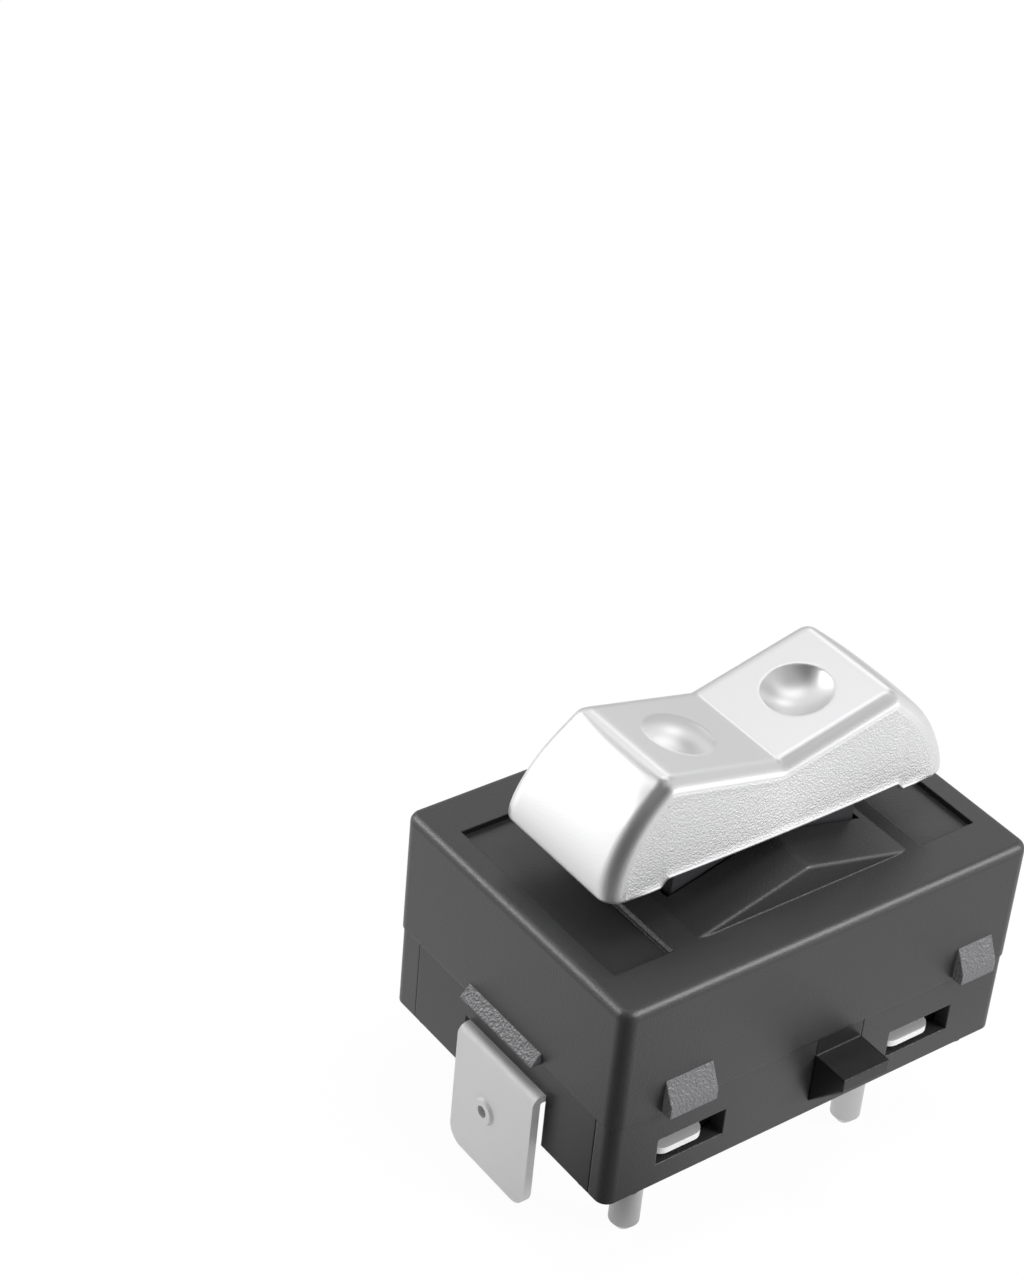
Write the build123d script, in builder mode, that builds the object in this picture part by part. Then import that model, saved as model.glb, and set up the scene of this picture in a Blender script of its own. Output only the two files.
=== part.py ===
from build123d import *
import os
from math import atan2, cos, radians, sin, tan

# Power window switch: a rocker button on a two-part moulded housing, with one wide
# blade terminal at its left end and four round terminal pins underneath.
# X runs along the housing, Y across it, Z up. The origin is the middle of the underside.
# All sizes are in millimetres.

# Housing: the cover above the parting line and the base below it
housing_length = 38.1
housing_width = 26.8
housing_height = 17.9
parting_height = 7.3
wall = 1.5
roof = 1.5
floor_thickness = 1.1
corner_radius = 1.1
top_edge_radius = 0.7
base_inset = 0.12
part_gap = 0.05

# Posts of the cover that press the terminal carrier down
post_radius = 1.2
post_margin = 3.15

# Shallow pockets in the top, under the two ends of the button
pocket_end_margin = 2.15
pocket_side_margin = 4.15
pocket_length = 5.0
pocket_depth = 0.5
pocket_edge = 0.25

# Low gable across the top that carries the pivot
action_x = 0.45
hill_end_margin = 9.2
hill_height = 2.5
hill_ridge_radius = 1.2
hill_edge_radius = 0.25

# Snap ramps that hold the switch in its panel
long_ramp_margin = 6.55
long_ramp_width = 4.25
short_ramp_margin = 4.15
short_ramp_width = 3.35
side_ramp_height = 3.0
side_ramp_reach = 0.95
side_ramp_lip = 1.0
end_ramp_y = -0.5
end_ramp_width = 8.9
end_ramp_height = 1.0
end_ramp_reach = 0.9

# Stop lugs of the terminal carrier, which stand out through the base
lug_x = 2.3
lug_width = 4.4
lug_reach = 3.1
panel_slot = 1.7
lug_edge = 1.1
lug_root_height = 1.2

# Small feet under the corners of the base
foot_margin = 3.3
foot_reach = 1.15
foot_radius = 0.75
foot_height = 0.45

# End panel of the terminal carrier and the well behind the blade
panel_low_y = -11.5
panel_high_y = 10.5
panel_rib = 0.25
well_depth = 3.65
well_back_wall = 0.8
well_side_gap = 0.1
shelf_side = 0.9

# Windows in the base and the flat terminals behind them
window_sill = 1.95
window_height = 2.45
window_width = 6.2
window_shift = 0.75
left_terminal_margin = 6.95
right_terminal_margin = 9.15
terminal_width = 4.5
terminal_thickness = 0.55
terminal_height = 2.6
terminal_end_gap = 0.2
terminal_end_radius = 1.0
terminal_middle_gap = 1.1
terminal_waist = 6.4
pad_margin = 0.4

# Round terminal pins
pin_radius = 1.2
pin_root_radius = 1.7
pin_row = 8.2
pin_drop = 9.6
pin_head_radius = 2.1
pin_head = 0.5
pin_tip_length = 0.85
pin_tip_slope = 38
pin_tip_radius = 0.3

# Wide blade terminal
blade_stand_off = 0.95
blade_width = 9.4
blade_y = -1.0
blade_thickness = 0.7
blade_level = 4.9
blade_drop = 6.2
blade_corner_radius = 1.5
blade_bend_radius = 0.5
detent_y = -0.25
detent_z = -0.55
detent_ring_radius = 1.15
detent_ring_height = 0.25
detent_ring_slope = 30
detent_dimple_radius = 0.5
detent_dimple_depth = 0.3
bus_width = 7.4
bus_bend_radius = 0.4
fulcrum_thickness = 0.8
fulcrum_width = 3.0
fulcrum_edge = 0.35

# Pivot, button and its carrier
pivot_rise = 0.1
pivot_radius = 1.0
pivot_clearance = 0.05
pivot_length = 13.0
shank_end_margin = 1.25
shank_width = 8.8
shank_bottom_rise = 0.5
shank_end_gap = 0.5
shank_side_gap = 0.2
shank_core_length = 3.0
shank_core_wall = 1.1
shank_core_depth = 5.5
leg_length = 6.8
leg_width = 8.6
button_x = 0.2
button_clearance = 3.3
button_lip = 0.8
button_end_margin = 3.2
button_end_lean = 5.25
button_height = 8.4
button_valley_depth = 2.5
button_rim_half = 6.5
button_crown_half = 5.6
button_end_bulge = 0.8
button_wall = 1.2
button_edge_radius = 1.0
button_crown_radius = 1.3
button_valley_radius = 1.5
button_lip_radius = 3.0
button_foot_length = 4.4
button_foot_height = 0.65
button_fit = 0.08
flange_rise = 1.5
flange_thickness = 1.7
bump_reach = 5.5
bump_radius = 2.75
dome_height = 0.75
dimple_depth = 0.6

# Spring plungers
plunger_row = 2.15
plunger_radius = 1.53
plunger_clearance = 0.07
plunger_length = 5.0
plunger_tip_gap = 0.1
plunger_show = 2.0
spring_radius = 1.25
spring_wire = 0.4
spring_turns = 5
spring_seat_gap = 0.1
bore_roof = 1.05

# Rocking contact blades and their contacts
arm_reach = 10.6
arm_width = 3.4
arm_thickness = 0.6
arm_corner_radius = 0.8
arm_rise_angle = 3.0
arm_angle = 4.8
arm_lip = 0.45
arm_lip_gap = 0.35
arm_seat_gap = 0.15
contact_reach = 9.0
contact_radius = 1.2
contact_height = 0.8
moving_contact_height = 0.6
contact_edge = 0.25
contact_gap = 0.15

# Sizes worked out from the ones above
half_length = housing_length / 2
half_width = housing_width / 2
roof_underside = housing_height - roof
hill_length = housing_length - 2 * hill_end_margin
long_ramp_x = -half_length + long_ramp_margin
short_ramp_x = half_length - short_ramp_margin
lug_top = parting_height - panel_slot
left_terminal_x = -half_length + left_terminal_margin
right_terminal_x = half_length - right_terminal_margin
blade_face_x = -half_length - blade_stand_off
pivot_height = housing_height + pivot_rise
shank_length = hill_length - 2 * shank_end_margin
shank_bottom = roof_underside + shank_bottom_rise
button_bottom = housing_height + button_clearance
button_crown = button_bottom + button_height
button_valley = button_crown - button_valley_depth
button_half_length = half_length - button_end_margin
button_crown_x = button_half_length - button_end_lean
button_foot_x = button_half_length - button_foot_length
flange_bottom = button_bottom + flange_rise
flange_top = flange_bottom + flange_thickness
pocket_outer_x = half_length - pocket_end_margin
pocket_inner_x = pocket_outer_x - pocket_length
top_half_width = half_width - pocket_side_margin
inner_length = housing_length - 2 * wall
inner_width = housing_width - 2 * wall
opening_half_width = shank_width / 2 + shank_side_gap
opening_length = shank_length + 2 * shank_end_gap
terminal_top = terminal_height + terminal_thickness
contact_top = terminal_top + contact_height
arm_drop = contact_reach * sin(radians(arm_angle))
arm_end_underside = contact_top + contact_gap + arm_drop + moving_contact_height
arm_underside = arm_end_underside - contact_reach * tan(radians(arm_rise_angle))
arm_top = arm_underside + arm_thickness
fulcrum_top = arm_underside - arm_seat_gap
plunger_tip = arm_top + plunger_tip_gap
plunger_top = plunger_tip + plunger_length
leg_bottom = plunger_tip + plunger_show
bore_top = pivot_height - pivot_radius - bore_roof
plunger_bore_radius = plunger_radius + plunger_clearance
wing_angle = atan2(button_crown - button_valley, button_crown_x)
well_back_x = -half_length + well_depth
well_low_y = blade_y - blade_width / 2 - well_side_gap
well_high_y = blade_y + blade_width / 2 + well_side_gap + shelf_side / 2
leg_face_x = well_back_x + well_back_wall
terminal_places = {"left": left_terminal_x, "right": right_terminal_x}
sides = {"front": -1, "rear": 1}
post_places = [
    (x * (half_length - post_margin), y * (half_width - post_margin))
    for x in (-1, 1)
    for y in (-1, 1)
]


def finish(part, name):
    """Label a finished piece and write its STEP file"""
    part.label = name
    export_step(part, f"parts/{name}.step")


os.makedirs("parts", exist_ok=True)

# Cover: roof with its pockets and gable, four walls, and the snap ramps on its lower edge
with BuildPart() as upper_housing:
    with BuildSketch(Plane.XY.offset(parting_height)):
        RectangleRounded(housing_length, housing_width, corner_radius)
    extrude(amount=housing_height - parting_height)
    fillet(upper_housing.faces().sort_by(Axis.Z)[-1].edges(), top_edge_radius)
    with BuildSketch(Plane.XZ):
        with BuildLine():
            Polyline(
                (-pocket_outer_x, housing_height),
                (-pocket_outer_x, housing_height - pocket_depth),
                (-pocket_inner_x, housing_height - pocket_depth),
                (-pocket_inner_x, housing_height - pocket_edge),
                (-pocket_inner_x + pocket_edge, housing_height),
                close=True,
            )
        make_face()
        mirror(about=Plane.YZ)
    extrude(amount=top_half_width, both=True, mode=Mode.SUBTRACT)
    with BuildSketch(Plane.XZ):
        with BuildLine():
            Polyline(
                (action_x - hill_length / 2, housing_height),
                (action_x, housing_height + hill_height),
                (action_x + hill_length / 2, housing_height),
                close=True,
            )
        make_face()
        fillet(vertices().sort_by(Axis.Y)[-1], hill_ridge_radius)
    extrude(amount=top_half_width, both=True)
    hill_rims = [
        edge
        for edge in edges()
        if abs(abs(edge.center().Y) - top_half_width) < 0.001
        and edge.center().Z > housing_height + hill_height / 4
    ]
    fillet(hill_rims, hill_edge_radius)
    with BuildSketch(Plane.XY.offset(parting_height)):
        RectangleRounded(inner_length, inner_width, corner_radius / 2)
    extrude(amount=roof_underside - parting_height, mode=Mode.SUBTRACT)
    with BuildSketch(Plane.XY.offset(roof_underside)):
        with Locations((action_x, 0)):
            Rectangle(opening_length, 2 * opening_half_width)
    extrude(amount=roof + hill_height, mode=Mode.SUBTRACT)
    with BuildSketch(Plane.XZ):
        with Locations((action_x, pivot_height)):
            Circle(pivot_radius + pivot_clearance)
        with Locations((action_x, (pivot_height + roof_underside) / 2)):
            Rectangle(2 * (pivot_radius + pivot_clearance), pivot_height - roof_underside)
    extrude(amount=pivot_length / 2 + pivot_clearance, both=True, mode=Mode.SUBTRACT)
    for ramp_x, ramp_width in ((long_ramp_x, long_ramp_width), (short_ramp_x, short_ramp_width)):
        with BuildSketch(Plane.YZ.offset(ramp_x)):
            with BuildLine():
                Polyline(
                    (-half_width + wall / 2, parting_height),
                    (-half_width - side_ramp_reach, parting_height),
                    (-half_width - side_ramp_reach, parting_height + side_ramp_lip),
                    (-half_width, parting_height + side_ramp_height),
                    (-half_width + wall / 2, parting_height + side_ramp_height),
                    close=True,
                )
            make_face()
            mirror(about=Plane.YZ)
        extrude(amount=ramp_width / 2, both=True)
    with BuildSketch(Plane.XZ.offset(-end_ramp_y)):
        with BuildLine():
            Polyline(
                (-half_length + wall / 2, parting_height),
                (-half_length - end_ramp_reach, parting_height),
                (-half_length, parting_height + end_ramp_height),
                (-half_length + wall / 2, parting_height + end_ramp_height),
                close=True,
            )
        make_face()
        mirror(about=Plane.YZ)
    extrude(amount=end_ramp_width / 2, both=True)
    with BuildSketch(Plane.XY.offset(terminal_height)):
        with Locations(*post_places):
            Circle(post_radius)
    extrude(amount=roof_underside - terminal_height)
finish(upper_housing.part, "upper_housing")

# Base: a tub with the terminal windows, slots for the stop lugs and an open left end
with BuildPart() as base_housing:
    with BuildSketch():
        RectangleRounded(
            housing_length - 2 * base_inset,
            housing_width - 2 * base_inset,
            corner_radius - base_inset,
        )
    extrude(amount=parting_height)
    with BuildSketch(Plane.XY.offset(floor_thickness)):
        RectangleRounded(inner_length, inner_width, corner_radius / 2)
    extrude(amount=parting_height - floor_thickness, mode=Mode.SUBTRACT)
    with BuildSketch():
        with Locations((well_back_x, (well_low_y + well_high_y) / 2)):
            Rectangle(2 * well_depth, well_high_y - well_low_y, align=(Align.MAX, Align.CENTER))
        for terminal_x in terminal_places.values():
            with Locations((terminal_x, -pin_row), (terminal_x, pin_row)):
                Circle(pin_root_radius + part_gap)
    extrude(amount=floor_thickness, mode=Mode.SUBTRACT)
    with BuildSketch():
        with Locations((-half_length, (panel_low_y + panel_high_y) / 2)):
            Rectangle(2 * wall, panel_high_y - panel_low_y)
    extrude(amount=parting_height, mode=Mode.SUBTRACT)
    with BuildSketch(Plane.XZ):
        for terminal_x in terminal_places.values():
            with Locations((terminal_x + window_shift, window_sill + window_height / 2)):
                Rectangle(window_width, window_height)
        with Locations((lug_x, lug_root_height)):
            Rectangle(
                lug_width + 2 * part_gap,
                parting_height - lug_root_height,
                align=(Align.CENTER, Align.MIN),
            )
    extrude(amount=half_width, both=True, mode=Mode.SUBTRACT)
    with BuildSketch():
        for foot_x in (-1, 1):
            for foot_y in (-1, 1):
                with Locations(
                    (foot_x * (half_length - foot_margin), foot_y * (half_width - foot_reach)),
                    (foot_x * (half_length - foot_reach), foot_y * (half_width - foot_margin)),
                ):
                    Circle(foot_radius)
    extrude(amount=-foot_height)
finish(base_housing.part, "base_housing")

# Terminal carrier: the bed the terminals lie on, with the end panel, the blade's well
# and the two stop lugs, moulded in one
with BuildPart() as terminal_carrier:
    with BuildSketch(Plane.XY.offset(floor_thickness)):
        RectangleRounded(inner_length - 2 * part_gap, inner_width - 2 * part_gap, corner_radius / 2)
    extrude(amount=terminal_height - floor_thickness)
    with BuildSketch():
        with Locations((-half_length + base_inset, (panel_low_y + panel_high_y) / 2)):
            Rectangle(
                wall - base_inset - part_gap,
                panel_high_y - panel_low_y - 2 * part_gap,
                align=(Align.MIN, Align.CENTER),
            )
    extrude(amount=parting_height - part_gap)
    with BuildSketch(Plane.XY.offset(floor_thickness)):
        with Locations((-half_length + base_inset, (panel_low_y + panel_high_y) / 2)):
            Rectangle(
                wall + panel_rib,
                panel_high_y - panel_low_y - 2 * wall,
                align=(Align.MIN, Align.CENTER),
            )
        with Locations((-half_length + base_inset, (well_low_y + well_high_y) / 2)):
            Rectangle(
                leg_face_x + half_length - base_inset,
                well_high_y - well_low_y + 2 * shelf_side,
                align=(Align.MIN, Align.CENTER),
            )
    extrude(amount=parting_height - part_gap - floor_thickness)
    with BuildSketch():
        with Locations((well_back_x, (well_low_y + well_high_y) / 2)):
            Rectangle(2 * well_depth, well_high_y - well_low_y, align=(Align.MAX, Align.CENTER))
    extrude(amount=blade_level, mode=Mode.SUBTRACT)
    with BuildSketch():
        with Locations((leg_face_x, 0)):
            Rectangle(
                action_x + 2 * fulcrum_thickness - leg_face_x,
                bus_width + 2 * part_gap,
                align=(Align.MIN, Align.CENTER),
            )
        for terminal_x in terminal_places.values():
            with Locations((terminal_x, -pin_row), (terminal_x, pin_row)):
                Circle(pin_root_radius + part_gap)
    extrude(amount=terminal_height, mode=Mode.SUBTRACT)
    with BuildSketch(Plane.XY.offset(blade_level - blade_thickness)):
        with Locations((well_back_x, 0)):
            Rectangle(
                well_back_wall,
                bus_width + 2 * part_gap,
                align=(Align.MIN, Align.CENTER),
            )
    extrude(amount=blade_thickness, mode=Mode.SUBTRACT)
    with BuildSketch(Plane.YZ.offset(lug_x)):
        with BuildLine():
            Polyline(
                (-half_width + wall + part_gap + lug_edge, floor_thickness),
                (-half_width + wall + part_gap, lug_root_height + part_gap),
                (-half_width, lug_root_height + part_gap),
                (-half_width - lug_reach, lug_top - lug_edge),
                (-half_width - lug_reach, lug_top),
                (-half_width + base_inset, lug_top),
                (-half_width + base_inset, parting_height - part_gap),
                (-half_width + wall + part_gap + lug_edge, parting_height - part_gap),
                close=True,
            )
        make_face()
        mirror(about=Plane.YZ)
    extrude(amount=lug_width / 2, both=True)
finish(terminal_carrier.part, "terminal_carrier")

# Feed terminal: one folded strip, from the wide blade over the well, down behind its wall
# and along the floor to two upright fulcrums
with BuildPart() as feed_terminal:
    with BuildSketch(Plane.XZ.offset(-blade_y)):
        with BuildLine() as blade_path:
            FilletPolyline(
                (blade_face_x + blade_thickness / 2, -blade_drop),
                (blade_face_x + blade_thickness / 2, blade_level - blade_thickness / 2),
                (well_back_x, blade_level - blade_thickness / 2),
                radius=blade_bend_radius,
            )
        trace(blade_path.line, blade_thickness)
    extrude(amount=blade_width / 2, both=True)
    blade_corners = edges().filter_by(Axis.X).group_by(Axis.Z)[0]
    fillet(blade_corners, blade_corner_radius)
    with BuildSketch(Plane.YZ.offset(blade_face_x)):
        with Locations((detent_y, detent_z)):
            Circle(detent_ring_radius)
    extrude(amount=-detent_ring_height, taper=detent_ring_slope)
    with BuildSketch(Plane.YZ.offset(blade_face_x)):
        with Locations((detent_y, detent_z)):
            Circle(detent_dimple_radius)
    extrude(amount=detent_dimple_depth, both=True, mode=Mode.SUBTRACT)
    with BuildSketch(Plane.XZ):
        with BuildLine() as bus_path:
            FilletPolyline(
                (well_back_x - blade_thickness, blade_level - blade_thickness / 2),
                (leg_face_x + part_gap + blade_thickness / 2, blade_level - blade_thickness / 2),
                (leg_face_x + part_gap + blade_thickness / 2, floor_thickness + blade_thickness / 2),
                (action_x + fulcrum_thickness, floor_thickness + blade_thickness / 2),
                radius=bus_bend_radius,
            )
        trace(bus_path.line, blade_thickness)
    extrude(amount=bus_width / 2, both=True)
    with BuildSketch(Plane.XZ):
        with Locations((action_x, floor_thickness)):
            Rectangle(
                fulcrum_thickness,
                fulcrum_top - floor_thickness,
                align=(Align.CENTER, Align.MIN),
            )
        fillet(vertices().group_by(Axis.Y)[-1], fulcrum_edge)
    extrude(amount=plunger_row + fulcrum_width / 2, both=True)
    with BuildSketch(Plane.XY.offset(floor_thickness + blade_thickness)):
        with Locations((action_x, 0)):
            Rectangle(3 * fulcrum_thickness, 2 * plunger_row - fulcrum_width)
    extrude(amount=fulcrum_top, mode=Mode.SUBTRACT)
finish(feed_terminal.part, "feed_terminal")

# Four flat terminals: a tongue that shows in its window, and a pad under the contact
for end, terminal_x in terminal_places.items():
    contact_x = action_x + (contact_reach if end == "right" else -contact_reach)
    pad_low_x = min(terminal_x, contact_x - contact_radius) - pad_margin
    pad_high_x = max(terminal_x, contact_x + contact_radius) + pad_margin
    for side_name, side in sides.items():
        outward = Align.MAX if side < 0 else Align.MIN
        with BuildPart() as flat_terminal:
            with BuildSketch(Plane.XY.offset(terminal_height)):
                with Locations((terminal_x, side * terminal_waist)):
                    Rectangle(
                        terminal_width,
                        half_width - terminal_end_gap - terminal_waist,
                        align=(Align.CENTER, outward),
                    )
                fillet(vertices().group_by(Axis.Y)[0 if side < 0 else -1], terminal_end_radius)
                with Locations(((pad_low_x + pad_high_x) / 2, side * terminal_middle_gap / 2)):
                    Rectangle(
                        pad_high_x - pad_low_x,
                        terminal_waist + pin_radius - terminal_middle_gap / 2,
                        align=(Align.CENTER, outward),
                    )
                with Locations((terminal_x, side * pin_row)):
                    Circle(pin_root_radius, mode=Mode.SUBTRACT)
            extrude(amount=terminal_thickness)
        finish(flat_terminal.part, f"{side_name}_{end}_terminal")

        # Round pin, headed over on the terminal, thicker in the base than at its free end
        with BuildPart() as terminal_pin:
            with BuildSketch(Plane.XY.offset(terminal_top)):
                with Locations((terminal_x, side * pin_row)):
                    Circle(pin_head_radius)
            extrude(amount=pin_head)
            fillet(edges().sort_by(Axis.Z)[-1], pin_head / 2)
            with BuildSketch(Plane.XY.offset(terminal_top)):
                with Locations((terminal_x, side * pin_row)):
                    Circle(pin_root_radius)
            extrude(amount=-terminal_top)
            with BuildSketch():
                with Locations((terminal_x, side * pin_row)):
                    Circle(pin_radius)
            extrude(amount=pin_tip_length - pin_drop)
            with BuildSketch(Plane.XY.offset(pin_tip_length - pin_drop)):
                with Locations((terminal_x, side * pin_row)):
                    Circle(pin_radius)
            extrude(amount=-pin_tip_length, taper=pin_tip_slope)
            fillet(edges().sort_by(Axis.Z)[0], pin_tip_radius)
        finish(terminal_pin.part, f"{side_name}_{end}_pin")

        # Fixed contact, a rivet head standing on the terminal's pad
        with BuildPart() as fixed_contact:
            with BuildSketch(Plane.XY.offset(terminal_top)):
                with Locations((contact_x, side * plunger_row)):
                    Circle(contact_radius)
            extrude(amount=contact_height)
            fillet(edges().sort_by(Axis.Z)[-1], contact_edge)
        finish(fixed_contact.part, f"{side_name}_{end}_contact")

# Pivot pin, pressed through the rocker carrier and running in the cover's two slots
with BuildPart() as pivot_pin:
    with BuildSketch(Plane.XZ):
        with Locations((action_x, pivot_height)):
            Circle(pivot_radius)
    extrude(amount=pivot_length / 2, both=True)
    chamfer(edges().filter_by(GeomType.CIRCLE), pivot_radius / 5)
finish(pivot_pin.part, "pivot_pin")


def button_solid(inset):
    """Solid of the button with two rising wings, its walls moved inwards by inset"""
    foot = button_half_length
    side_slope = (button_rim_half - button_crown_half) / (button_crown - button_bottom)
    with BuildPart() as solid:
        with BuildSketch(Plane.XZ):
            with BuildLine():
                right_wing = SagittaArc(
                    (button_x + foot, button_bottom + button_lip),
                    (button_x + button_crown_x, button_crown),
                    -button_end_bulge,
                )
                left_wing = SagittaArc(
                    (button_x - foot, button_bottom + button_lip),
                    (button_x - button_crown_x, button_crown),
                    button_end_bulge,
                )
                Polyline(left_wing @ 1, (button_x, button_valley), right_wing @ 1)
                Polyline(
                    left_wing @ 0,
                    (button_x - foot, button_bottom - inset),
                    (button_x + foot, button_bottom - inset),
                    right_wing @ 0,
                )
            make_face()
            fillet(vertices().group_by(Axis.Y)[-1], button_crown_radius)
            fillet(vertices().group_by(Axis.Y)[1], button_lip_radius)
            valley_corner = vertices().sort_by_distance((button_x, button_valley))[0]
            fillet(valley_corner, button_valley_radius)
            offset(amount=-inset, kind=Kind.INTERSECTION)
        extrude(amount=button_rim_half, both=True)
        with BuildSketch(Plane.YZ):
            with BuildLine():
                Polyline(
                    (-button_rim_half - side_slope * inset, button_bottom - inset),
                    (-button_crown_half + side_slope * inset, button_crown + inset),
                    (button_crown_half - side_slope * inset, button_crown + inset),
                    (button_rim_half + side_slope * inset, button_bottom - inset),
                    close=True,
                )
            make_face()
            offset(amount=-inset, kind=Kind.INTERSECTION)
        extrude(amount=button_half_length + button_crown_x, both=True, mode=Mode.INTERSECT)
    return solid.part


# Button: a hollow cap whose two wings carry a dome and a dimple for the finger
button_outside = button_solid(0)
button_inside = button_solid(button_wall)
with BuildPart() as rocker_cap:
    add(button_outside)
    long_edges = [
        edge
        for edge in edges()
        if abs(edge.center().Y) > button_crown_half / 2 and edge.center().Z > button_bottom + part_gap
    ]
    fillet(long_edges, button_edge_radius)
    add(button_inside, mode=Mode.SUBTRACT)
    with BuildSketch(Plane.XZ):
        with Locations((button_x, button_bottom)):
            Rectangle(2 * button_foot_x, 2 * button_foot_height)
    extrude(amount=button_rim_half, both=True, mode=Mode.SUBTRACT)
    dome_plane = Plane(
        origin=(
            button_x - bump_reach,
            0,
            button_valley + bump_reach * tan(wing_angle),
        ),
        x_dir=(cos(wing_angle), 0, -sin(wing_angle)),
        z_dir=(0, -1, 0),
    )
    with BuildSketch(dome_plane):
        with BuildLine():
            dome_arc = ThreePointArc(
                (-bump_radius, 0),
                (0, dome_height),
                (bump_radius, 0),
            )
            Polyline(
                dome_arc @ 0,
                (-bump_radius, -button_wall / 2),
                (bump_radius, -button_wall / 2),
                dome_arc @ 1,
            )
        make_face()
        split(bisect_by=Plane.YZ, keep=Keep.TOP)
    revolve(axis=Axis(dome_plane.origin, dome_plane.y_dir))
    dimple_radius = (bump_radius**2 + dimple_depth**2) / (2 * dimple_depth)
    with Locations(
        (
            button_x + bump_reach - (dimple_radius - dimple_depth) * sin(wing_angle),
            0,
            button_valley
            + bump_reach * tan(wing_angle)
            + (dimple_radius - dimple_depth) * cos(wing_angle),
        )
    ):
        Sphere(dimple_radius, mode=Mode.SUBTRACT)
finish(rocker_cap.part, "rocker_cap")

# Rocker carrier: flange under the cap, shank through the cover, and a leg with two bores
flange_solid = button_solid(button_wall + button_fit)
with BuildPart() as rocker_carrier:
    add(flange_solid)
    with BuildSketch(Plane.XY.offset(flange_bottom)):
        Rectangle(4 * button_half_length, 4 * button_rim_half)
    extrude(amount=flange_top - flange_bottom, mode=Mode.INTERSECT)
    with BuildSketch(Plane.XY.offset(shank_bottom)):
        with Locations((action_x, 0)):
            Rectangle(shank_length, shank_width)
    extrude(amount=flange_top - shank_bottom)
    with BuildSketch(Plane.XY.offset(leg_bottom)):
        with Locations((action_x, 0)):
            Rectangle(leg_length, leg_width)
    extrude(amount=shank_bottom - leg_bottom)
    core_x = shank_length / 2 - shank_core_wall - shank_core_length / 2
    with BuildSketch(Plane.XY.offset(shank_bottom)):
        with Locations((action_x - core_x, 0), (action_x + core_x, 0)):
            Rectangle(shank_core_length, shank_width - 2 * shank_core_wall)
    extrude(amount=shank_core_depth, mode=Mode.SUBTRACT)
    with BuildSketch(Plane.XY.offset(leg_bottom)):
        with Locations((action_x, -plunger_row), (action_x, plunger_row)):
            Circle(plunger_bore_radius)
    extrude(amount=bore_top - leg_bottom, mode=Mode.SUBTRACT)
    with BuildSketch(Plane.XZ):
        with Locations((action_x, pivot_height)):
            Circle(pivot_radius)
    extrude(amount=shank_width, both=True, mode=Mode.SUBTRACT)
finish(rocker_carrier.part, "rocker_carrier")

for side_name, side in sides.items():
    row_y = side * plunger_row

    # Plunger with a ball end that wipes over the contact arm
    with BuildPart() as plunger:
        with BuildSketch(Plane.XZ):
            with BuildLine():
                tip_arc = RadiusArc(
                    (0, plunger_tip),
                    (plunger_radius, plunger_tip + plunger_radius),
                    -plunger_radius,
                )
                Polyline(
                    tip_arc @ 1,
                    (plunger_radius, plunger_top),
                    (0, plunger_top),
                    tip_arc @ 0,
                )
            make_face()
        revolve(axis=Axis.Z)
    finish(plunger.part.moved(Location((action_x, row_y, 0))), f"{side_name}_plunger")

    # Coil spring between the plunger and the top of its bore
    spring_bottom = plunger_top + spring_seat_gap + spring_wire / 2
    spring_height = bore_top - spring_seat_gap - spring_wire / 2 - spring_bottom
    with BuildPart() as spring:
        with BuildLine() as coil:
            Helix(
                pitch=spring_height / spring_turns,
                height=spring_height,
                radius=spring_radius,
                center=(action_x, row_y, spring_bottom),
            )
        with BuildSketch(coil.line ^ 0):
            Circle(spring_wire / 2)
        sweep(is_frenet=True)
    finish(spring.part, f"{side_name}_spring")

    # Rocking contact arm: a shallow vee strip with two lips astride its fulcrum
    rise = arm_reach * tan(radians(arm_rise_angle))
    lip_middle = fulcrum_thickness / 2 + arm_lip_gap + arm_lip / 2
    with BuildPart() as contact_arm:
        with BuildSketch(Plane.XZ.offset(-row_y)):
            with BuildLine():
                Polyline(
                    (action_x - arm_reach, arm_underside + rise),
                    (action_x, arm_underside),
                    (action_x + arm_reach, arm_underside + rise),
                    (action_x + arm_reach, arm_top + rise),
                    (action_x, arm_top),
                    (action_x - arm_reach, arm_top + rise),
                    close=True,
                )
            make_face()
            with Locations((action_x - lip_middle, arm_top), (action_x + lip_middle, arm_top)):
                Rectangle(
                    arm_lip,
                    arm_thickness + arm_lip,
                    align=(Align.CENTER, Align.MAX),
                )
        extrude(amount=arm_width / 2, both=True)
        arm_corners = edges().filter_by(Axis.Z).group_by(Axis.X)
        fillet(arm_corners[0] + arm_corners[-1], arm_corner_radius)
    finish(contact_arm.part, f"{side_name}_contact_arm")

    # Pair of moving contacts riveted under the arm's two ends
    with BuildPart() as moving_contacts:
        for end in (-1, 1):
            under_arm = Plane(
                origin=(
                    action_x + end * contact_reach,
                    row_y,
                    arm_underside + contact_reach * tan(radians(arm_rise_angle)),
                ),
                z_dir=(end * sin(radians(arm_rise_angle)), 0, -cos(radians(arm_rise_angle))),
            )
            with BuildSketch(under_arm):
                Circle(contact_radius)
            extrude(amount=moving_contact_height)
        fillet(edges().filter_by(GeomType.CIRCLE).group_by(Axis.Z)[0], contact_edge)
    finish(moving_contacts.part, f"{side_name}_moving_contacts")
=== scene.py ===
import bpy
import numpy as np
from mathutils import Matrix, Vector


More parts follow.
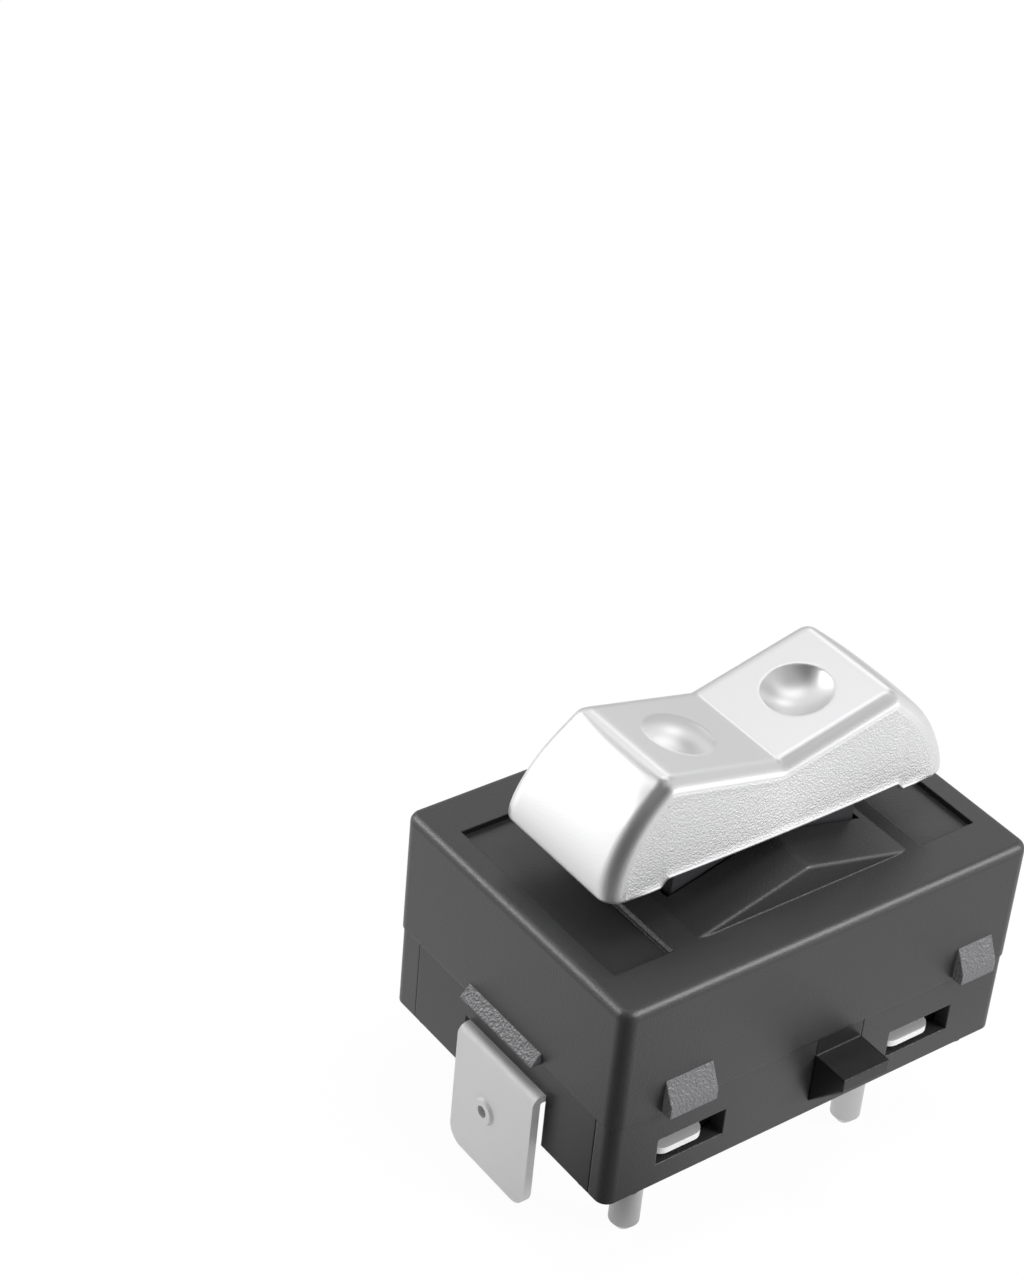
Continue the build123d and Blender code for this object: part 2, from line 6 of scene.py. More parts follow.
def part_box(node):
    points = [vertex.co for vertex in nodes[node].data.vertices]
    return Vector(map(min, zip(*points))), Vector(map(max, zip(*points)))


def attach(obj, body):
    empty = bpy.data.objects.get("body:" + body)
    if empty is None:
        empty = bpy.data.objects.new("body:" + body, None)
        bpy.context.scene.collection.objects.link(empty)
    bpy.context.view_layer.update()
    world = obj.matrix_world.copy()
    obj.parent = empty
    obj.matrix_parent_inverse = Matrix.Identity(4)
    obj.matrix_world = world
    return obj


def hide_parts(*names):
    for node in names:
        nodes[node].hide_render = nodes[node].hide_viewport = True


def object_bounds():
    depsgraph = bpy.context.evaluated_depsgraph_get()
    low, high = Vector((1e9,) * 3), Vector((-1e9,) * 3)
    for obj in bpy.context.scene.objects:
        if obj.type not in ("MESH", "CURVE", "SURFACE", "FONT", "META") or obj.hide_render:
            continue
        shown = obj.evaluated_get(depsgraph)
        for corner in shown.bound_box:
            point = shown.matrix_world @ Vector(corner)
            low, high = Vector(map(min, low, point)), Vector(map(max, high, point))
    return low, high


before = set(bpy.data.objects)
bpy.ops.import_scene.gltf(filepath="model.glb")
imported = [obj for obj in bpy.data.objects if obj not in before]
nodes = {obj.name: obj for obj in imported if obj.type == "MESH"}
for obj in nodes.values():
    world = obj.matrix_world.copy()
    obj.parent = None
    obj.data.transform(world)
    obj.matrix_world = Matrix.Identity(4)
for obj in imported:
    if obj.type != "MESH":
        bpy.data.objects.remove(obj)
cad_low, cad_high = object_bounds()


# Base housing.
# The lower tub of the switch, injection moulded in glass-filled black nylon. The cover
# snaps on to its upper edge, and the windows in its long sides show the flat terminals.
def linear(hex_colour):
    """Linear RGBA of an sRGB hex colour, channel by channel with the sRGB curve."""
    channels = [int(hex_colour[i:i + 2], 16) / 255 for i in (1, 3, 5)]
    return [c / 12.92 if c <= 0.04045 else ((c + 0.055) / 1.055) ** 2.4 for c in channels] + [1]


def add_node(tree, kind, sockets, **settings):
    """Adds a node, gives it its settings, and fills or links each of the listed input sockets."""
    node = tree.nodes.new(kind)
    for name, value in settings.items():
        setattr(node, name, value)
    for name, value in sockets.items():
        if isinstance(value, bpy.types.NodeSocket):
            tree.links.new(value, node.inputs[name])
        else:
            node.inputs[name].default_value = value
    return node


def new_material(name, colour, roughness, metallic=0.0):
    """A named material with its constant colour, roughness and metallic on the shader.
    Returns the material, its node tree, its shader and its object coordinates."""
    material = bpy.data.materials.new(name)
    material.use_nodes = True
    tree = material.node_tree
    shader = tree.nodes["Principled BSDF"]
    shader.inputs["Base Color"].default_value = linear(colour)
    shader.inputs["Roughness"].default_value = roughness
    shader.inputs["Metallic"].default_value = metallic
    place = add_node(tree, "ShaderNodeTexCoord", {}).outputs["Object"]
    return material, tree, shader, place


def black_moulding(name, colour, roughness, grain_mm, grain_height_mm, edge_mm):
    """Black moulded plastic: a dark body under a fine spark-eroded grain that breaks up
    the edge highlights. grain_mm is the real width of one grain, and edge_mm the small
    radius of every moulded edge, which catches the light as a thin line. Returns what
    new_material does, and the node that bends the normal."""
    material, tree, shader, place = new_material(name, colour, roughness)
    grain = add_node(tree, "ShaderNodeTexNoise", {
        "Vector": place, "Scale": 1000 / grain_mm, "Detail": 2.0, "Roughness": 0.6,
    })
    soft_edge = add_node(tree, "ShaderNodeBevel", {"Radius": edge_mm / 1000}, samples=6)
    relief = add_node(tree, "ShaderNodeBump", {
        "Height": grain.outputs["Fac"], "Distance": grain_height_mm / 1000, "Strength": 1.0,
        "Normal": soft_edge.outputs["Normal"],
    })
    tree.links.new(relief.outputs["Normal"], shader.inputs["Normal"])
    return material, tree, shader, place, relief


def dress(names, material):
    """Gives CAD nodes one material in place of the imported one."""
    for name in names:
        nodes[name].data.materials.clear()
        nodes[name].data.materials.append(material)


nylon_base = black_moulding(
    "Glass-filled nylon, spark-eroded", "#252526", roughness=0.38,
    grain_mm=0.17, grain_height_mm=0.02, edge_mm=0.2,
)[0]
dress(["base_housing"], nylon_base)

# Terminal carrier.
# A smoother black moulding inside the base. It holds the terminals, closes the left end
# with a flat panel, and its two stop lugs stand out through slots in the base.
pbt_carrier = black_moulding(
    "PBT, polished mould", "#101011", roughness=0.34,
    grain_mm=0.4, grain_height_mm=0.003, edge_mm=0.2,
)[0]
dress(["terminal_carrier"], pbt_carrier)


# Feed terminal.
# Tin-plated brass strip, blanked and folded: a wide blade outside, a bus on the floor and
# two fulcrums inside. The matt tin gives a pale, slightly cloudy face.
def plated_metal(name, colour, roughness, cloud_mm, metallic, drift=0.05):
    """Plated metal: a face whose roughness drifts softly across it, by drift either way.
    cloud_mm is the real width of one cloudy patch in the plating. Matt tin scatters part
    of its light, so it is less than fully metallic."""
    material, tree, shader, place = new_material(name, colour, roughness, metallic)
    cloud = add_node(tree, "ShaderNodeTexNoise", {
        "Vector": place, "Scale": 1000 / cloud_mm, "Detail": 3.0,
    })
    sheen = add_node(tree, "ShaderNodeMapRange", {
        "Value": cloud.outputs["Fac"], "To Min": roughness - drift, "To Max": roughness + drift,
    })
    tree.links.new(sheen.outputs["Result"], shader.inputs["Roughness"])
    return material


tinned_strip = plated_metal(
    "Matt tin on brass strip", "#c2c2c2", roughness=0.55, cloud_mm=3.0, metallic=0.35
)
dress(["feed_terminal"], tinned_strip)

# Flat terminals, round pins and fixed contacts.
# Four tinned plates lie on the carrier, each with a pin headed over on it and a silver
# contact riveted to its inner pad.
tinned_plate = plated_metal(
    "Matt tin on brass plate", "#d2d2d2", roughness=0.5, cloud_mm=2.0, metallic=0.3
)
tinned_pin = plated_metal(
    "Matt tin on turned brass", "#b4b4b4", roughness=0.34, cloud_mm=1.5, metallic=0.85
)
silver_contact = plated_metal(
    "Silver alloy, coined", "#e2e0da", roughness=0.22, cloud_mm=1.0, metallic=1.0
)
for corner in ("front_left", "front_right", "rear_left", "rear_right"):
    dress([corner + "_terminal"], tinned_plate)
    dress([corner + "_pin"], tinned_pin)
    dress([corner + "_contact"], silver_contact)

# Contact arms, plungers, springs and pivot.
# Two copper alloy arms rock on the feed terminal's fulcrums. Brass plungers with ball ends
# and steel springs sit in the button's leg and press on them, and a steel pin carries it.
copper_arm = plated_metal(
    "Phosphor bronze, stamped", "#b9805a", roughness=0.34, cloud_mm=2.5, metallic=1.0
)
brass_plunger = plated_metal(
    "Brass, turned", "#c9a45c", roughness=0.25, cloud_mm=1.5, metallic=1.0
)
spring_wire = plated_metal(
    "Spring steel, drawn", "#9a9a9c", roughness=0.3, cloud_mm=0.8, metallic=1.0
)
axle_steel = plated_metal(
    "Steel, ground", "#a9a9ab", roughness=0.22, cloud_mm=1.0, metallic=1.0
)
dress(["front_contact_arm", "rear_contact_arm"], copper_arm)
dress(["front_moving_contacts", "rear_moving_contacts"], silver_contact)
dress(["front_plunger", "rear_plunger"], brass_plunger)
dress(["front_spring", "rear_spring"], spring_wire)
dress(["pivot_pin"], axle_steel)

# Cover.
# The upper half of the housing, moulded in the same black nylon. Its flat walls have a fine
# grain, and the slanted faces of the snap ramps a coarser one that glitters. The ramps also
# get a lighter grey base colour: a painted sheen for the light their slanted faces catch.
nylon_cover, tree, shader, place, fine_relief = black_moulding(
    "Glass-filled nylon, fine grain", "#262627", roughness=0.38,
    grain_mm=0.17, grain_height_mm=0.02, edge_mm=0.2,
)
ramp_grain_mm = 0.22
ramp_relief_mm = 0.12
# Painted sheen: the lighter grey of the ramps stands in for the light their slanted faces catch.
ramp_sheen_colour = "#58585a"
wall_step = 0.00015
base_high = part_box("base_housing")[1]
# The ramps are whatever stands out past the walls of the base.
across = add_node(tree, "ShaderNodeSeparateXYZ", {"Vector": place})
outside = []
for axis_name, half_size in (("X", base_high.x), ("Y", base_high.y)):
    distance = add_node(tree, "ShaderNodeMath", {
        0: across.outputs[axis_name],
    }, operation="ABSOLUTE")
    outside.append(add_node(tree, "ShaderNodeMath", {
        0: distance.outputs[0], 1: half_size + wall_step,
    }, operation="GREATER_THAN"))
on_ramp = add_node(tree, "ShaderNodeMath", {
    0: outside[0].outputs[0], 1: outside[1].outputs[0],
}, operation="MAXIMUM")
coarse = add_node(tree, "ShaderNodeTexNoise", {
    "Vector": place, "Scale": 1000 / ramp_grain_mm, "Detail": 1.0, "Roughness": 0.5,
})
coarse_height = add_node(tree, "ShaderNodeMath", {
    0: coarse.outputs["Fac"], 1: on_ramp.outputs[0],
}, operation="MULTIPLY")
ramp_relief = add_node(tree, "ShaderNodeBump", {
    "Height": coarse_height.outputs[0], "Distance": ramp_relief_mm / 1000, "Strength": 1.0,
    "Normal": fine_relief.outputs["Normal"],
})
tree.links.new(ramp_relief.outputs["Normal"], shader.inputs["Normal"])
# A mix node's colours share their names with its numbers, so they go by place: 0 is the
# factor, 6 and 7 the two colours, and output 2 the mixed colour.
wall_colour = list(shader.inputs["Base Color"].default_value)
# Painted sheen: on the ramps the wall colour is mixed over to the lighter grey.
painted_sheen = add_node(tree, "ShaderNodeMix", {
    0: on_ramp.outputs[0], 6: wall_colour, 7: linear(ramp_sheen_colour),
}, data_type="RGBA")
tree.links.new(painted_sheen.outputs[2], shader.inputs["Base Color"])
dress(["upper_housing"], nylon_cover)

# Rocker carrier.
# Smooth black moulding under the button: its shank comes up through the cover, and its
# flange carries the button's cap.
acetal_carrier = black_moulding(
    "Acetal, polished mould", "#303032", roughness=0.34,
    grain_mm=0.4, grain_height_mm=0.003, edge_mm=0.12,
)[0]
dress(["rocker_carrier"], acetal_carrier)

# Button cap.
# A hollow ABS moulding with satin silver paint. Two wings rise from a valley to a crown at
# each end, one with a raised dome and one with a dimple. Its sides keep a leathery grain.
cap_low, cap_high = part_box("rocker_cap")
cap_middle = (cap_low.x + cap_high.x) / 2
# Side outline, from the cap's middle outward and from its feet upward.
foot_reach = 0.0161
crown_reach = 0.0106
crown_lift = 0.0084
valley_lift = 0.0059
end_bulge = 0.00105
foot_tuck = 0.00022
foot_tuck_lift = 0.0013
corner_run = 0.0027
valley_run = 0.0007
valley_reach = 0.003
# Section: half widths at the rim and the crown, wall, and rounding along the top and down
# the corners. The ends are bowed, all the way down from just below the crown.
rim_half = 0.0065
crown_half = 0.0056
cap_wall = 0.0012
edge_round = 0.0012
corner_round = 0.0015
least_round = 0.0002
end_bow = 0.00022
bow_fade = 0.06
# Rim: its rounding, its arch between the feet, and the small lip that flares out at it.
rim_round = 0.00026
arch_lift = 0.00065
arch_sag = 0.0002
arch_edge = 0.01145
arch_slope = 0.00075
lip_flare = 0.0001
lip_height = 0.0004
lip_reach = 0.014
lip_fade = 0.0015
# Dome and dimple.
bump_reach = 0.0055
bump_radius = 0.00275
dome_height = 0.0007
dimple_depth = 0.00085
# Fineness of the mesh. The side's rows crowd toward the rim, where the lip is.
arc_points = 400
outline_step = 0.00005
column_step = 0.00013
side_rows = 15
side_crowding = 1.6
round_rows = 9
edge_rows = side_rows + round_rows - 2
top_rows = 64
rim_rows = 5
crease_angle = 38


def path_length(points):
    """Distance travelled along a run of points, at each of them."""
    steps = np.linalg.norm(np.diff(points, axis=0), axis=1)
    return np.concatenate([[0], np.cumsum(steps)])


def button_outline():
    """Side outline of the button from its left foot over both crowns to its right foot: an
    end arc, straight wings and a valley. The end arc is its chord plus end_bulge * (1 - t^2)
    to the side, t from -1 to 1, and its foot tucks in by foot_tuck * (1 - z / lift)^2. Every
    corner is rounded by a Hann-weighted mean of the outline over a short run, shortest at
    the valley. Returns points and outward normals, both (n, 2)."""
    turn = np.linspace(-1, 1, arc_points)
    foot = np.array([-foot_reach, rim_round])
    crown = np.array([-crown_reach, crown_lift])
    chord = crown - foot
    aside = np.array([-chord[1], chord[0]]) / np.linalg.norm(chord)
    bulge = np.outer((1 - turn**2) * end_bulge, aside)
    end_arc = foot + np.outer((turn + 1) / 2, chord) + bulge
    end_arc[:, 0] += foot_tuck * np.clip(1 - end_arc[:, 1] / foot_tuck_lift, 0, 1) ** 2
    left = np.vstack([end_arc, [0, valley_lift]])
    sharp = np.vstack([left, (left * [-1, 1])[-2::-1]])
    run = path_length(sharp)
    places = np.arange(-corner_run, run[-1] + corner_run, outline_step)
    inside = np.clip(places, 0, run[-1])
    fine = np.stack([np.interp(inside, run, sharp[:, k]) for k in (0, 1)], axis=1)
    start_way = (sharp[1] - sharp[0]) / run[1]
    end_way = (sharp[-1] - sharp[-2]) / (run[-1] - run[-2])
    fine += np.outer(np.minimum(places, 0), start_way)
    fine += np.outer(np.maximum(places - run[-1], 0), end_way)
    wide, narrow = [
        np.stack([np.convolve(fine[:, k], window / window.sum(), "same") for k in (0, 1)], axis=1)
        for window in (np.hanning(corner_run / outline_step), np.hanning(valley_run / outline_step))
    ]
    smooth = np.where(np.abs(fine[:, :1]) < valley_reach, narrow, wide)
    smooth = smooth[(places >= 0) & (places <= run[-1])]
    travel = path_length(smooth)
    columns = np.linspace(0, travel[-1], int(travel[-1] / column_step))
    points = np.stack([np.interp(columns, travel, smooth[:, k]) for k in (0, 1)], axis=1)
    way = np.gradient(points, axis=0)
    way /= np.linalg.norm(way, axis=1)[:, None]
    return points, np.stack([-way[:, 1], way[:, 0]], axis=1)


def rim_height(x):
    """Height of the rim above its feet: raised along the arch, which sags a little in the
    middle, with a sloped step at each end, s^2 (3 - 2s)."""
    share = np.clip((arch_edge - np.abs(x)) / arch_slope, 0, 1)
    lift = arch_lift - arch_sag * np.clip(1 - (x / arch_edge) ** 2, 0, 1)
    return lift * share * share * (3 - 2 * share)


def button_shell(points, normals, inset):
    """Skin of the button, inset from its outline, as a grid of rows (front rim, over the top,
    rear rim) by columns (left foot to right foot). Each side is ruled: straight lines go down
    from the rounded top edge to the rim, where a lip flares out by (1 - height)^2. The edge is
    an arc from the outline's normal to sideways, and its radius grows down the ends, where it
    is the button's corner. The ends are bowed: off the middle they fall back by bow * s^3."""
    line = points - inset * normals
    peak = points[np.argmax(points[:, 1])]
    lean = np.where(np.abs(points[:, 0]) > abs(peak[0]), 1 - points[:, 1] / peak[1], 0)
    half = crown_half + (rim_half - crown_half) * lean - inset
    rounding = np.maximum(edge_round + (corner_round - edge_round) * lean - inset, least_round)
    bow = end_bow * (1 - np.exp(-lean / bow_fade)) * (1 - lean) ** 2
    root = line - (rounding + bow)[:, None] * normals
    rows = []
    for share in np.linspace(0, 1, side_rows)[:-1] ** side_crowding:
        low = rim_height(root[:, 0]) + rim_round
        z = low + share * (np.maximum(root[:, 1], low) - low)
        flare = lip_flare * np.clip(1 - (z - low) / lip_height, 0, 1) ** 2
        flare *= np.clip((lip_reach - np.abs(root[:, 0])) / lip_fade, 0, 1)
        y = rim_half - inset + share * (half - (rim_half - inset)) + flare
        rows.append(np.stack([root[:, 0], -y, z], axis=1))
    for angle in np.linspace(np.pi / 2, 0, round_rows)[:-1]:
        spot = root + (rounding * np.cos(angle))[:, None] * normals
        y = half - rounding + rounding * np.sin(angle)
        rows.append(np.stack([spot[:, 0], -y, np.maximum(spot[:, 1], rim_round)], axis=1))
    for share in np.linspace(-1, 1, top_rows):
        bowed = line - (bow * abs(share) ** 3)[:, None] * normals
        height = np.maximum(bowed[:, 1], rim_round)
        rows.append(np.stack([bowed[:, 0], share * (half - rounding), height], axis=1))
    front = np.array(rows)
    rear_edge = (front[:edge_rows] * [1, -1, 1])[::-1]
    return np.concatenate([front, rear_edge])


def press_bumps(grid, points, normals):
    """Raises the dome on the left wing and sinks the dimple in the right one. Each is a cap of
    a sphere: sqrt(R^2 - d^2) - (R - h) at a distance d from its middle."""
    for middle_x, height in ((-bump_reach, dome_height), (bump_reach, -dimple_depth)):
        middle = np.array([middle_x, np.interp(middle_x, points[:, 0], points[:, 1])])
        along = np.linalg.norm(points - middle, axis=1)
        away = np.sqrt(along[None, :] ** 2 + grid[:, :, 1] ** 2)
        ball = (bump_radius**2 + height**2) / (2 * abs(height))
        lift = np.sqrt(np.maximum(ball**2 - away**2, 0)) - (ball - abs(height))
        lift = np.sign(height) * np.where(away < bump_radius, lift, 0)
        on_top = np.zeros(len(grid))
        on_top[edge_rows:][:top_rows] = 1
        lift *= on_top[:, None]
        grid[:, :, 0] += lift * normals[:, 0]
        grid[:, :, 2] += lift * normals[:, 1]
    return grid


def rim_loop(grid):
    """The grid's border as one closed run: front rim, right foot, rear rim, left foot."""
    return np.concatenate([grid[0], grid[1:, -1], grid[-1, -2::-1], grid[-2:0:-1, 0]])


def numbered(rows, columns, first=0):
    """A grid of vertex numbers, counted from first."""
    return np.arange(rows * columns).reshape(rows, columns) + first


def quads_of(index, closed=False):
    """Quads of a grid of vertex numbers. A closed grid joins its last column to its first."""
    if closed:
        index = np.concatenate([index, index[:, :1]], axis=1)
    corners = [index[:-1, :-1], index[:-1, 1:], index[1:, 1:], index[1:, :-1]]
    return np.stack(corners, axis=-1).reshape(-1, 4)


outline, outline_normals = button_outline()
outer = press_bumps(button_shell(outline, outline_normals, 0), outline, outline_normals)
inner = button_shell(outline, outline_normals, cap_wall)
# The rim turns under in a quarter circle and runs in flat to the inner skin. Its first and
# last loops are the borders of the two skins, so the cap is one closed mesh.
outer_rim = rim_loop(outer)
inner_rim = rim_loop(inner)
inward = (inner_rim - outer_rim) * [1, 1, 0]
inward /= np.linalg.norm(inward, axis=1)[:, None]
rim = []
for angle in np.linspace(0, np.pi / 2, rim_rows)[1:]:
    under = [0, 0, rim_round * np.sin(angle)]
    rim.append(outer_rim + inward * rim_round * (1 - np.cos(angle)) - under)
rim.append(inner_rim - [0, 0, rim_round])
rim = np.array(rim)
outer_index = numbered(*outer.shape[:2])
inner_index = numbered(*inner.shape[:2], outer_index.size)
rim_index = np.concatenate([
    rim_loop(outer_index)[None],
    numbered(*rim.shape[:2], outer_index.size + inner_index.size),
    rim_loop(inner_index)[None],
])
cap_points = np.concatenate([skin.reshape(-1, 3) for skin in (outer, inner, rim)])
cap_points += [cap_middle, 0, cap_low.z]
cap_quads = np.concatenate([
    quads_of(outer_index),
    quads_of(inner_index)[:, ::-1],
    quads_of(rim_index, closed=True)[:, ::-1],
])
cap_mesh = bpy.data.meshes.new("button_cap")
cap_mesh.from_pydata(cap_points.tolist(), [], cap_quads.tolist())
cap_mesh.polygons.foreach_set("use_smooth", np.ones(len(cap_mesh.polygons), bool))
cap_mesh.set_sharp_from_angle(angle=np.radians(crease_angle))

# Share of the leather grain at each point: all on the sides above the lip, a little of it
# down the ends, and none on top.
end_grain = 0.2
lip_rows = 2
grain = np.zeros(outer.shape[:2])
grain[lip_rows:side_rows] = 1
grain[-side_rows:-lip_rows] = 1
end_share = np.clip((np.abs(outline[:, 0]) - crown_reach) / (foot_reach - crown_reach), 0, 1)
grain = np.maximum(grain, end_grain * end_share[None, :])
grain_all = np.zeros(len(cap_points), np.float32)
grain_all[:grain.size] = grain.ravel()
cap_mesh.attributes.new("grain", "FLOAT", "POINT").data.foreach_set("value", grain_all)

leather_mm = 0.15
leather_relief_mm = 0.045
silver_abs, tree, shader, place = new_material(
    "Satin silver paint on grained ABS", "#d8d8d9", roughness=0.3, metallic=0.9
)
leather = add_node(tree, "ShaderNodeTexNoise", {
    "Vector": place, "Scale": 1000 / leather_mm, "Detail": 1.5, "Roughness": 0.5,
})
grain_share = add_node(tree, "ShaderNodeAttribute", {}, attribute_name="grain")
leather_height = add_node(tree, "ShaderNodeMath", {
    0: leather.outputs["Fac"], 1: grain_share.outputs["Fac"],
}, operation="MULTIPLY")
relief = add_node(tree, "ShaderNodeBump", {
    "Height": leather_height.outputs[0], "Distance": leather_relief_mm / 1000, "Strength": 1.0,
})
tree.links.new(relief.outputs["Normal"], shader.inputs["Normal"])
cap_mesh.materials.append(silver_abs)
button_cap = bpy.data.objects.new("button_cap", cap_mesh)
bpy.context.scene.collection.objects.link(button_cap)
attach(button_cap, "rocker")
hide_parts("rocker_cap")


# Floor and studio.
# A white table under the switch in a white room, with a soft box at each side and one above.
# A light tent stands round it, whose lining is unevenly lit: only glossy faces show it. Two
# more boxes, kept off the silver button by flags, draw the bright lines on the black edges.
def bare_tree(owner):
    """Node tree of a material or world, emptied."""
    owner.use_nodes = True
    owner.node_tree.nodes.clear()
    return owner.node_tree


def sheet(name, points, quads, material):
    """A stage panel made of quads between points, with a material."""
    mesh = bpy.data.meshes.new(name)
    mesh.from_pydata(points, [], np.asarray(quads).tolist())
    mesh.materials.append(material)
    panel = bpy.data.objects.new(name, mesh)
    bpy.context.scene.collection.objects.link(panel)
    return panel


def white_to_the_eye(tree):
    """Light Path switch: 1 for rays that see the backdrop directly, in a mirror or through
    glass, and 0 for rays that only carry light."""
    ray = add_node(tree, "ShaderNodeLightPath", {}).outputs
    seen = ray["Is Camera Ray"]
    for kind in ("Is Glossy Ray", "Is Transmission Ray"):
        seen = add_node(tree, "ShaderNodeMath", {
            0: seen, 1: ray[kind],
        }, operation="MAXIMUM").outputs[0]
    return seen


white = linear("#ffffff")
table_clearness = 0.96
white_table = bpy.data.materials.new("White laminate table")
tree = bare_tree(white_table)
whiteness = add_node(tree, "ShaderNodeMath", {
    0: white_to_the_eye(tree), 1: table_clearness,
}, operation="MULTIPLY")
laminate = add_node(tree, "ShaderNodeBsdfDiffuse", {"Color": linear("#f0f0f0")})
clear_white = add_node(tree, "ShaderNodeEmission", {"Color": white, "Strength": 1.0})
both = add_node(tree, "ShaderNodeMixShader", {
    0: whiteness.outputs[0], 1: laminate.outputs[0], 2: clear_white.outputs[0],
})
add_node(tree, "ShaderNodeOutputMaterial", {"Surface": both.outputs[0]})
floor_gap = 0.0002
floor_z = cad_low.z - floor_gap
floor_half = 3.0
floor_points = [
    (side_x * floor_half, side_y * floor_half, floor_z)
    for side_x, side_y in ((-1, -1), (1, -1), (1, 1), (-1, 1))
]
sheet("floor", floor_points, [(0, 1, 2, 3)], white_table)

room_light = 0.6
room = bpy.data.worlds.new("White studio")
bpy.context.scene.world = room
tree = bare_tree(room)
soft_light = add_node(tree, "ShaderNodeBackground", {"Color": white, "Strength": room_light})
white_wall = add_node(tree, "ShaderNodeBackground", {"Color": white, "Strength": 1.0})
both = add_node(tree, "ShaderNodeMixShader", {
    0: white_to_the_eye(tree), 1: soft_light.outputs[0], 2: white_wall.outputs[0],
})
add_node(tree, "ShaderNodeOutputWorld", {"Surface": both.outputs[0]})

# The tent is a sphere, cut off flat just above the table. A direction in it is an azimuth,
# counted from the right (+X) toward the rear (+Y), and an elevation, both in degrees.
tent_middle = np.array([0, 0, 0.018])
tent_radius = 0.62
tent_gap = 0.001
tent_rows = 121
tent_columns = 240
tent_foot = -78
tent_top = 89.5
# Bright and dark patches of its lining: azimuth and elevation of the middle, half width and
# half height, and brightness, with 1 for the lining between them.
patches = {
    "behind_right": (50, 4, 44, 21, 0.64),
    "behind_high": (66, 49, 28, 13, 1.02),
    "window_low": (42, 37, 8, 7, 2.1),
    "window_high": (62, 63, 24, 8, 2.0),
    "right_high": (8, 49, 16, 13, 0.45),
    "overhead": (0, 90, 60, 17, 0.4),
    "dark_high": (158, 58, 27, 18, 0.06),
    "left_panel": (126, 10, 25, 23, 2.0),
    "left_box": (126, 30, 11, 8, 14.0),
    "dark_front": (-136, 19, 60, 52, 0.02),
    "dark_floor": (-141, -36, 30, 24, 0.06),
    "right_panel": (-30, 34, 30, 15, 0.75),
    "right_box": (-50, 1, 18, 9, 2.25),
    "front_high": (-64, 50, 18, 14, 0.65),
    "front_floor": (-56, -28, 26, 14, 0.86),
}


def tent_glow(azimuth, elevation):
    """Brightness of the tent's lining in a direction, in degrees: white, with each patch
    blended over it by exp(-d^4), d being the distance from its middle in patch half widths."""
    glow = np.ones_like(azimuth)
    for middle, height, width, tallness, level in patches.values():
        aside = (azimuth - middle + 180) % 360 - 180
        across = aside * np.cos(np.radians(elevation)) / width
        share = np.exp(-(across**2 + ((elevation - height) / tallness) ** 2) ** 2)
        glow = glow * (1 - share) + level * share
    return glow


elevation, azimuth = np.meshgrid(
    np.linspace(tent_foot, tent_top, tent_rows),
    np.linspace(-180, 180, tent_columns, endpoint=False),
    indexing="ij",
)
turn, climb = np.radians(azimuth), np.radians(elevation)
way = np.stack([
    np.cos(climb) * np.cos(turn), np.cos(climb) * np.sin(turn), np.sin(climb),
], axis=-1)
drop = tent_middle[2] - floor_z - tent_gap
to_floor = drop / np.maximum(-np.sin(climb), drop / tent_radius)
reach = np.where(climb < 0, to_floor, tent_radius)
tent_points = tent_middle + way * reach[..., None]
tent_quads = quads_of(numbered(tent_rows, tent_columns), closed=True)[:, ::-1]
tent_cloth = bpy.data.materials.new("White tent lining, lit unevenly")
tree = bare_tree(tent_cloth)
glow = add_node(tree, "ShaderNodeAttribute", {}, attribute_name="glow")
lining = add_node(tree, "ShaderNodeEmission", {"Color": white, "Strength": glow.outputs["Fac"]})
add_node(tree, "ShaderNodeOutputMaterial", {"Surface": lining.outputs[0]})
tent_cloth.cycles.emission_sampling = "NONE"
tent = sheet("light_tent", tent_points.reshape(-1, 3).tolist(), tent_quads, tent_cloth)
tent.data.attributes.new("glow", "FLOAT", "POINT").data.foreach_set(
    "value", tent_glow(azimuth, elevation).astype(np.float32).ravel()
)
tent.visible_camera = False
tent.visible_shadow = False
tent.visible_diffuse = False

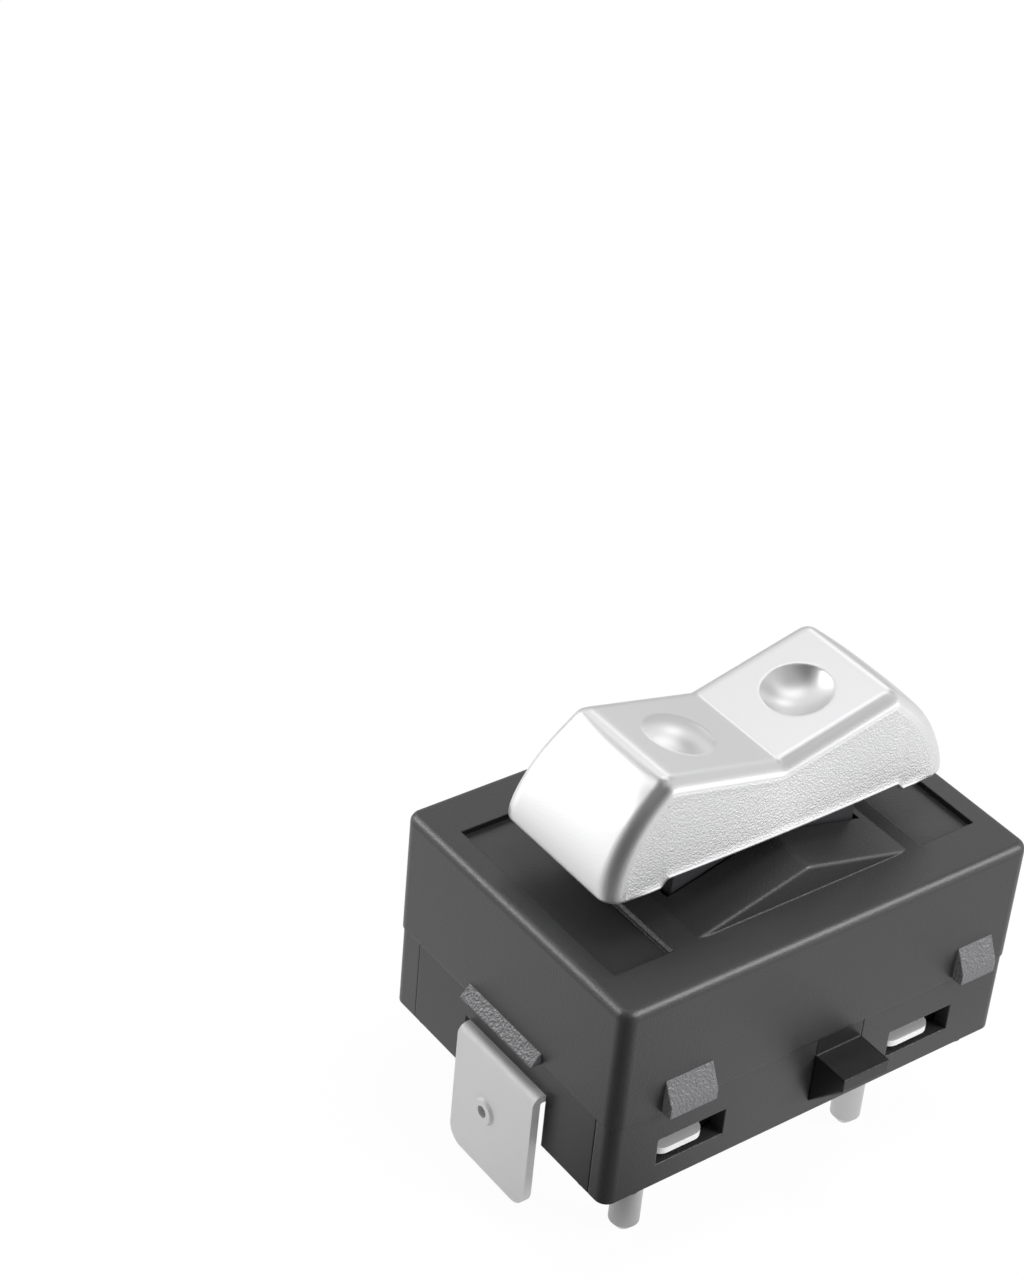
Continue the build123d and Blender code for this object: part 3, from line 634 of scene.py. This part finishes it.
# Soft boxes: the way to each, its power in watts, and the only parts it lights. A box for
# all parts leaves the highlights to the tent, and a flagged one gives only highlights.
black_parts = bpy.data.collections.new("black_parts")
for name in ("upper_housing", "base_housing", "terminal_carrier", "rocker_carrier"):
    black_parts.objects.link(nodes[name])
soft_boxes = {
    "right_soft_box": ((0.515, -0.72, 0.44), 4.2, None),
    "left_soft_box": ((-0.70, 0.64, 0.30), 1.1, None),
    "top_soft_box": ((0.05, -0.10, 0.99), 2.4, None),
    "right_edge_box": ((0.515, -0.48, 0.71), 6.5, black_parts),
    "left_edge_box": ((-0.38, 0.62, 0.69), 3.4, black_parts),
}
box_width = 0.26
box_distance = 0.68
for name, (way, power, only_parts) in soft_boxes.items():
    lamp = bpy.data.lights.new(name, "AREA")
    lamp.shape = "SQUARE"
    lamp.size = box_width
    lamp.energy = power
    box = bpy.data.objects.new(name, lamp)
    bpy.context.scene.collection.objects.link(box)
    box.location = Vector(way).normalized() * box_distance
    box.rotation_euler = (-Vector(way)).to_track_quat("-Z", "Y").to_euler()
    box.visible_diffuse = only_parts is None
    box.visible_glossy = only_parts is not None
    box.light_linking.receiver_collection = only_parts

# Camera.
# It stands where the photographer stood: the place, turns and lens come from matching the
# straight edges of the housing, on a frame 1024 wide and 1280 high.
frame_height_px = 1280
focal_px = 3082
camera_place = Vector((-0.12577, -0.13062, 0.15673))
heading, pitch, roll = np.radians([38.68, 34.44, -5.17])
toward_camera = Vector((
    -np.sin(heading) * np.cos(pitch), -np.cos(heading) * np.cos(pitch), np.sin(pitch),
))
forward = -toward_camera
rightward = forward.cross(Vector((0, 0, 1))).normalized()
downward = forward.cross(rightward)
turned_right = rightward * np.cos(roll) + downward * np.sin(roll)
turned_down = downward * np.cos(roll) - rightward * np.sin(roll)
view = Matrix((turned_right, -turned_down, toward_camera)).transposed().to_4x4()
view.translation = camera_place
lens = bpy.data.cameras.new("camera")
lens.sensor_width = 36
lens.lens = focal_px / frame_height_px * lens.sensor_width
lens.clip_start = 0.01
lens.clip_end = 20
camera = bpy.data.objects.new("camera", lens)
bpy.context.scene.collection.objects.link(camera)
camera.matrix_world = view
bpy.context.scene.camera = camera
bpy.context.scene.view_settings.view_transform = "Standard"

bpy.context.view_layer.update()
